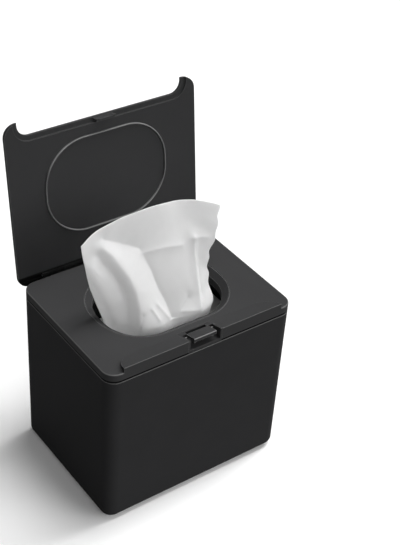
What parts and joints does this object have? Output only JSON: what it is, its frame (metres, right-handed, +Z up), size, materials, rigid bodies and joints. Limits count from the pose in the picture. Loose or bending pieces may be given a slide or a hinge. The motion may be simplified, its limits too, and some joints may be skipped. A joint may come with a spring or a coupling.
{
  "type": "countertop wipes dispenser",
  "caption": "Box-shaped countertop dispenser: a tub of folded wipes, a lift-off cover with an oval throat, and a hinged flap held by a sprung press button.",
  "frame": {"origin": "on the table under the middle of the tub", "axes": "+X to the right along the front, +Y from the front to the hinge at the back, +Z up"},
  "size_m": [0.19, 0.1696, 0.3154],
  "materials": {
    "tub_plastic": "satin moulded black",
    "cover_plastic": "satin moulded black",
    "flap_plastic": "satin moulded black",
    "funnel_plastic": "satin moulded black",
    "button_plastic": "satin moulded black",
    "seal_rubber": "soft black",
    "foot_rubber": "soft black",
    "pin_steel": "drawn steel",
    "wipe_cloth": "soft nonwoven, white"
  },
  "bodies": {
    "tub_body": {"tub": "tub_plastic", "foot_front_left": "foot_rubber", "foot_front_right": "foot_rubber", "foot_rear_left": "foot_rubber", "foot_rear_right": "foot_rubber", "wipe_stack": "wipe_cloth"},
    "cover_body": {"cover": "cover_plastic", "cover_seal": "seal_rubber", "funnel": "funnel_plastic", "hinge_pin": "pin_steel", "latch_bezel": "button_plastic", "button_pin": "pin_steel", "button_spring": "pin_steel", "leading_wipe": "wipe_cloth"},
    "flap_body": {"flap": "flap_plastic", "flap_seal": "seal_rubber"},
    "button_body": {"latch_button": "button_plastic"}
  },
  "joints": [
    {"name": "cover_lift", "type": "slide", "parent": "tub_body", "child": "cover_body", "axis": [0, 0, 1], "range_m": [0, 0.06]},
    {"name": "flap_close", "type": "hinge", "parent": "cover_body", "child": "flap_body", "pos_m": [0, 0.0754, 0.1693], "axis": [1, 0, 0], "range_deg": [0, 97], "deforming": ["leading_wipe"]},
    {"name": "button_press", "type": "hinge", "parent": "cover_body", "child": "button_body", "pos_m": [0, -0.0612, 0.1684], "axis": [1, 0, 0], "range_deg": [0, 8], "stiffness_Nm_per_rad": 0.04, "springref_deg": -4.58, "deforming": ["button_spring"]}
  ]
}
